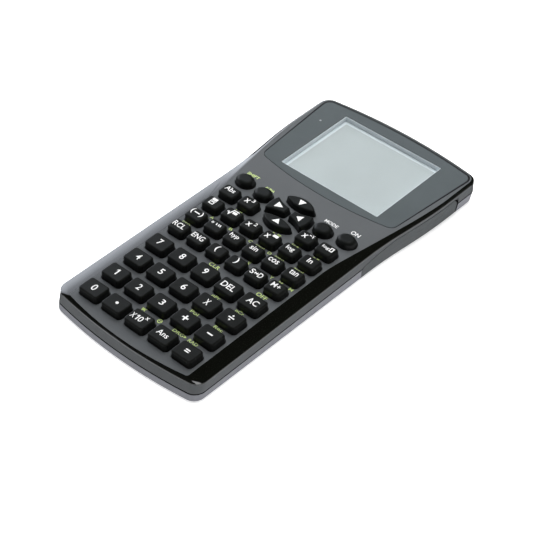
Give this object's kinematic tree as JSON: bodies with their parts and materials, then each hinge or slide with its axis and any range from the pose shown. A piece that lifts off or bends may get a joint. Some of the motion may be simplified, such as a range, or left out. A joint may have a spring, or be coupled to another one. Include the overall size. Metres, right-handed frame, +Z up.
{
  "type": "graphing calculator",
  "caption": "Slim handheld graphing calculator: large flush display window in a flared head, rounded black keys below, four-way cursor pad, glossy edge trim.",
  "frame": {"origin": "centre of the underside, at the bottom of the bounding box", "axes": "+Y from the user's end towards the display, +Z up out of the keys, +X to the user's right"},
  "size_m": [0.0892, 0.183, 0.0145],
  "materials": {
    "case_grey": "satin moulded, fine grain",
    "rear_grey": "fine spark texture",
    "cover_grey": "fine spark texture",
    "gloss_black": "polished",
    "window_plate": "clear acrylic with a grey border printed behind it",
    "lcd_glass": "grey reflective display",
    "silicone": "translucent silicone",
    "board_green": "solder mask",
    "cell_metal": "nickel plated",
    "screw_steel": "zinc plated",
    "key_black": "matt, fine grain",
    "oval_key_black": "matt, fine grain",
    "cursor_black": "matt, fine grain"
  },
  "bodies": {
    "case": {"front_case": "case_grey", "rear_case": "rear_grey", "bezel_trim": "gloss_black", "display_window": "window_plate", "lcd_module": "lcd_glass", "key_sheet": "silicone", "circuit_board": "board_green", "battery_cells": "cell_metal", "case_screws": "screw_steel"},
    "battery_cover": {"battery_cover": "cover_grey"},
    "key_0": {"key_0": "key_black"},
    "key_point": {"key_point": "key_black"},
    "key_exponent": {"key_exponent": "key_black"},
    "key_answer": {"key_answer": "key_black"},
    "key_equals": {"key_equals": "key_black"},
    "key_1": {"key_1": "key_black"},
    "key_2": {"key_2": "key_black"},
    "key_3": {"key_3": "key_black"},
    "key_plus": {"key_plus": "key_black"},
    "key_minus": {"key_minus": "key_black"},
    "key_4": {"key_4": "key_black"},
    "key_5": {"key_5": "key_black"},
    "key_6": {"key_6": "key_black"},
    "key_times": {"key_times": "key_black"},
    "key_divide": {"key_divide": "key_black"},
    "key_7": {"key_7": "key_black"},
    "key_8": {"key_8": "key_black"},
    "key_9": {"key_9": "key_black"},
    "key_delete": {"key_delete": "key_black"},
    "key_clear": {"key_clear": "key_black"},
    "key_recall": {"key_recall": "key_black"},
    "key_engineering": {"key_engineering": "key_black"},
    "key_open_bracket": {"key_open_bracket": "key_black"},
    "key_close_bracket": {"key_close_bracket": "key_black"},
    "key_fraction_decimal": {"key_fraction_decimal": "key_black"},
    "key_memory": {"key_memory": "key_black"},
    "key_negative": {"key_negative": "key_black"},
    "key_degrees": {"key_degrees": "key_black"},
    "key_hyperbolic": {"key_hyperbolic": "key_black"},
    "key_sine": {"key_sine": "key_black"},
    "key_cosine": {"key_cosine": "key_black"},
    "key_tangent": {"key_tangent": "key_black"},
    "key_fraction": {"key_fraction": "key_black"},
    "key_root": {"key_root": "key_black"},
    "key_square": {"key_square": "key_black"},
    "key_power": {"key_power": "key_black"},
    "key_log": {"key_log": "key_black"},
    "key_natural_log": {"key_natural_log": "key_black"},
    "key_absolute": {"key_absolute": "key_black"},
    "key_cube": {"key_cube": "key_black"},
    "key_inverse": {"key_inverse": "key_black"},
    "key_log_base": {"key_log_base": "key_black"},
    "shift_key": {"shift_key": "oval_key_black"},
    "alpha_key": {"alpha_key": "oval_key_black"},
    "mode_key": {"mode_key": "oval_key_black"},
    "on_key": {"on_key": "oval_key_black"},
    "cursor_up": {"cursor_up": "cursor_black"},
    "cursor_down": {"cursor_down": "cursor_black"},
    "cursor_left": {"cursor_left": "cursor_black"},
    "cursor_right": {"cursor_right": "cursor_black"}
  },
  "joints": [
    {"name": "key_0_press", "type": "slide", "parent": "case", "child": "key_0", "axis": [0, 0.0131, -0.9999], "range_m": [0, 0.0012], "stiffness_N_per_m": 800, "springref_m": -0.0004},
    {"name": "key_point_press", "type": "slide", "parent": "case", "child": "key_point", "axis": [0, 0.0131, -0.9999], "range_m": [0, 0.0012], "stiffness_N_per_m": 800, "springref_m": -0.0004},
    {"name": "key_exponent_press", "type": "slide", "parent": "case", "child": "key_exponent", "axis": [0, 0.0131, -0.9999], "range_m": [0, 0.0012], "stiffness_N_per_m": 800, "springref_m": -0.0004},
    {"name": "key_answer_press", "type": "slide", "parent": "case", "child": "key_answer", "axis": [0, 0.0131, -0.9999], "range_m": [0, 0.0012], "stiffness_N_per_m": 800, "springref_m": -0.0004},
    {"name": "key_equals_press", "type": "slide", "parent": "case", "child": "key_equals", "axis": [0, 0.0131, -0.9999], "range_m": [0, 0.0012], "stiffness_N_per_m": 800, "springref_m": -0.0004},
    {"name": "key_1_press", "type": "slide", "parent": "case", "child": "key_1", "axis": [0, 0.0131, -0.9999], "range_m": [0, 0.0012], "stiffness_N_per_m": 800, "springref_m": -0.0004},
    {"name": "key_2_press", "type": "slide", "parent": "case", "child": "key_2", "axis": [0, 0.0131, -0.9999], "range_m": [0, 0.0012], "stiffness_N_per_m": 800, "springref_m": -0.0004},
    {"name": "key_3_press", "type": "slide", "parent": "case", "child": "key_3", "axis": [0, 0.0131, -0.9999], "range_m": [0, 0.0012], "stiffness_N_per_m": 800, "springref_m": -0.0004},
    {"name": "key_plus_press", "type": "slide", "parent": "case", "child": "key_plus", "axis": [0, 0.0131, -0.9999], "range_m": [0, 0.0012], "stiffness_N_per_m": 800, "springref_m": -0.0004},
    {"name": "key_minus_press", "type": "slide", "parent": "case", "child": "key_minus", "axis": [0, 0.0131, -0.9999], "range_m": [0, 0.0012], "stiffness_N_per_m": 800, "springref_m": -0.0004},
    {"name": "key_4_press", "type": "slide", "parent": "case", "child": "key_4", "axis": [0, 0.0131, -0.9999], "range_m": [0, 0.0012], "stiffness_N_per_m": 800, "springref_m": -0.0004},
    {"name": "key_5_press", "type": "slide", "parent": "case", "child": "key_5", "axis": [0, 0.0131, -0.9999], "range_m": [0, 0.0012], "stiffness_N_per_m": 800, "springref_m": -0.0004},
    {"name": "key_6_press", "type": "slide", "parent": "case", "child": "key_6", "axis": [0, 0.0131, -0.9999], "range_m": [0, 0.0012], "stiffness_N_per_m": 800, "springref_m": -0.0004},
    {"name": "key_times_press", "type": "slide", "parent": "case", "child": "key_times", "axis": [0, 0.0131, -0.9999], "range_m": [0, 0.0012], "stiffness_N_per_m": 800, "springref_m": -0.0004},
    {"name": "key_divide_press", "type": "slide", "parent": "case", "child": "key_divide", "axis": [0, 0.0131, -0.9999], "range_m": [0, 0.0012], "stiffness_N_per_m": 800, "springref_m": -0.0004},
    {"name": "key_7_press", "type": "slide", "parent": "case", "child": "key_7", "axis": [0, 0.0131, -0.9999], "range_m": [0, 0.0012], "stiffness_N_per_m": 800, "springref_m": -0.0004},
    {"name": "key_8_press", "type": "slide", "parent": "case", "child": "key_8", "axis": [0, 0.0131, -0.9999], "range_m": [0, 0.0012], "stiffness_N_per_m": 800, "springref_m": -0.0004},
    {"name": "key_9_press", "type": "slide", "parent": "case", "child": "key_9", "axis": [0, 0.0131, -0.9999], "range_m": [0, 0.0012], "stiffness_N_per_m": 800, "springref_m": -0.0004},
    {"name": "key_delete_press", "type": "slide", "parent": "case", "child": "key_delete", "axis": [0, 0.0131, -0.9999], "range_m": [0, 0.0012], "stiffness_N_per_m": 800, "springref_m": -0.0004},
    {"name": "key_clear_press", "type": "slide", "parent": "case", "child": "key_clear", "axis": [0, 0.0131, -0.9999], "range_m": [0, 0.0012], "stiffness_N_per_m": 800, "springref_m": -0.0004},
    {"name": "key_recall_press", "type": "slide", "parent": "case", "child": "key_recall", "axis": [0, 0.0131, -0.9999], "range_m": [0, 0.0012], "stiffness_N_per_m": 800, "springref_m": -0.0004},
    {"name": "key_engineering_press", "type": "slide", "parent": "case", "child": "key_engineering", "axis": [0, 0.0131, -0.9999], "range_m": [0, 0.0012], "stiffness_N_per_m": 800, "springref_m": -0.0004},
    {"name": "key_open_bracket_press", "type": "slide", "parent": "case", "child": "key_open_bracket", "axis": [0, 0.0131, -0.9999], "range_m": [0, 0.0012], "stiffness_N_per_m": 800, "springref_m": -0.0004},
    {"name": "key_close_bracket_press", "type": "slide", "parent": "case", "child": "key_close_bracket", "axis": [0, 0.0131, -0.9999], "range_m": [0, 0.0012], "stiffness_N_per_m": 800, "springref_m": -0.0004},
    {"name": "key_fraction_decimal_press", "type": "slide", "parent": "case", "child": "key_fraction_decimal", "axis": [0, 0.0131, -0.9999], "range_m": [0, 0.0012], "stiffness_N_per_m": 800, "springref_m": -0.0004},
    {"name": "key_memory_press", "type": "slide", "parent": "case", "child": "key_memory", "axis": [0, 0.0131, -0.9999], "range_m": [0, 0.0012], "stiffness_N_per_m": 800, "springref_m": -0.0004},
    {"name": "key_negative_press", "type": "slide", "parent": "case", "child": "key_negative", "axis": [0, 0.0131, -0.9999], "range_m": [0, 0.0012], "stiffness_N_per_m": 800, "springref_m": -0.0004},
    {"name": "key_degrees_press", "type": "slide", "parent": "case", "child": "key_degrees", "axis": [0, 0.0131, -0.9999], "range_m": [0, 0.0012], "stiffness_N_per_m": 800, "springref_m": -0.0004},
    {"name": "key_hyperbolic_press", "type": "slide", "parent": "case", "child": "key_hyperbolic", "axis": [0, 0.0131, -0.9999], "range_m": [0, 0.0012], "stiffness_N_per_m": 800, "springref_m": -0.0004},
    {"name": "key_sine_press", "type": "slide", "parent": "case", "child": "key_sine", "axis": [0, 0.0131, -0.9999], "range_m": [0, 0.0012], "stiffness_N_per_m": 800, "springref_m": -0.0004},
    {"name": "key_cosine_press", "type": "slide", "parent": "case", "child": "key_cosine", "axis": [0, 0.0131, -0.9999], "range_m": [0, 0.0012], "stiffness_N_per_m": 800, "springref_m": -0.0004},
    {"name": "key_tangent_press", "type": "slide", "parent": "case", "child": "key_tangent", "axis": [0, 0.0131, -0.9999], "range_m": [0, 0.0012], "stiffness_N_per_m": 800, "springref_m": -0.0004},
    {"name": "key_fraction_press", "type": "slide", "parent": "case", "child": "key_fraction", "axis": [0, 0.0131, -0.9999], "range_m": [0, 0.0012], "stiffness_N_per_m": 800, "springref_m": -0.0004},
    {"name": "key_root_press", "type": "slide", "parent": "case", "child": "key_root", "axis": [0, 0.0131, -0.9999], "range_m": [0, 0.0012], "stiffness_N_per_m": 800, "springref_m": -0.0004},
    {"name": "key_square_press", "type": "slide", "parent": "case", "child": "key_square", "axis": [0, 0.0131, -0.9999], "range_m": [0, 0.0012], "stiffness_N_per_m": 800, "springref_m": -0.0004},
    {"name": "key_power_press", "type": "slide", "parent": "case", "child": "key_power", "axis": [0, 0.0131, -0.9999], "range_m": [0, 0.0012], "stiffness_N_per_m": 800, "springref_m": -0.0004},
    {"name": "key_log_press", "type": "slide", "parent": "case", "child": "key_log", "axis": [0, 0.0131, -0.9999], "range_m": [0, 0.0012], "stiffness_N_per_m": 800, "springref_m": -0.0004},
    {"name": "key_natural_log_press", "type": "slide", "parent": "case", "child": "key_natural_log", "axis": [0, 0.0131, -0.9999], "range_m": [0, 0.0012], "stiffness_N_per_m": 800, "springref_m": -0.0004},
    {"name": "key_absolute_press", "type": "slide", "parent": "case", "child": "key_absolute", "axis": [0, 0.0131, -0.9999], "range_m": [0, 0.0012], "stiffness_N_per_m": 800, "springref_m": -0.0004},
    {"name": "key_cube_press", "type": "slide", "parent": "case", "child": "key_cube", "axis": [0, 0.0131, -0.9999], "range_m": [0, 0.0012], "stiffness_N_per_m": 800, "springref_m": -0.0004},
    {"name": "key_inverse_press", "type": "slide", "parent": "case", "child": "key_inverse", "axis": [0, 0.0131, -0.9999], "range_m": [0, 0.0012], "stiffness_N_per_m": 800, "springref_m": -0.0004},
    {"name": "key_log_base_press", "type": "slide", "parent": "case", "child": "key_log_base", "axis": [0, 0.0131, -0.9999], "range_m": [0, 0.0012], "stiffness_N_per_m": 800, "springref_m": -0.0004},
    {"name": "shift_key_press", "type": "slide", "parent": "case", "child": "shift_key", "axis": [0, 0.0131, -0.9999], "range_m": [0, 0.0012], "stiffness_N_per_m": 800, "springref_m": -0.0004},
    {"name": "alpha_key_press", "type": "slide", "parent": "case", "child": "alpha_key", "axis": [0, 0.0131, -0.9999], "range_m": [0, 0.0012], "stiffness_N_per_m": 800, "springref_m": -0.0004},
    {"name": "mode_key_press", "type": "slide", "parent": "case", "child": "mode_key", "axis": [0, 0.0131, -0.9999], "range_m": [0, 0.0012], "stiffness_N_per_m": 800, "springref_m": -0.0004},
    {"name": "on_key_press", "type": "slide", "parent": "case", "child": "on_key", "axis": [0, 0.0131, -0.9999], "range_m": [0, 0.0012], "stiffness_N_per_m": 800, "springref_m": -0.0004},
    {"name": "cursor_up_press", "type": "slide", "parent": "case", "child": "cursor_up", "axis": [0, 0.0131, -0.9999], "range_m": [0, 0.0012], "stiffness_N_per_m": 800, "springref_m": -0.0004},
    {"name": "cursor_down_press", "type": "slide", "parent": "case", "child": "cursor_down", "axis": [0, 0.0131, -0.9999], "range_m": [0, 0.0012], "stiffness_N_per_m": 800, "springref_m": -0.0004},
    {"name": "cursor_left_press", "type": "slide", "parent": "case", "child": "cursor_left", "axis": [0, 0.0131, -0.9999], "range_m": [0, 0.0012], "stiffness_N_per_m": 800, "springref_m": -0.0004},
    {"name": "cursor_right_press", "type": "slide", "parent": "case", "child": "cursor_right", "axis": [0, 0.0131, -0.9999], "range_m": [0, 0.0012], "stiffness_N_per_m": 800, "springref_m": -0.0004},
    {"name": "battery_cover_lift", "type": "slide", "parent": "case", "child": "battery_cover", "axis": [0, 0, -1], "range_m": [0, 0.014]}
  ]
}
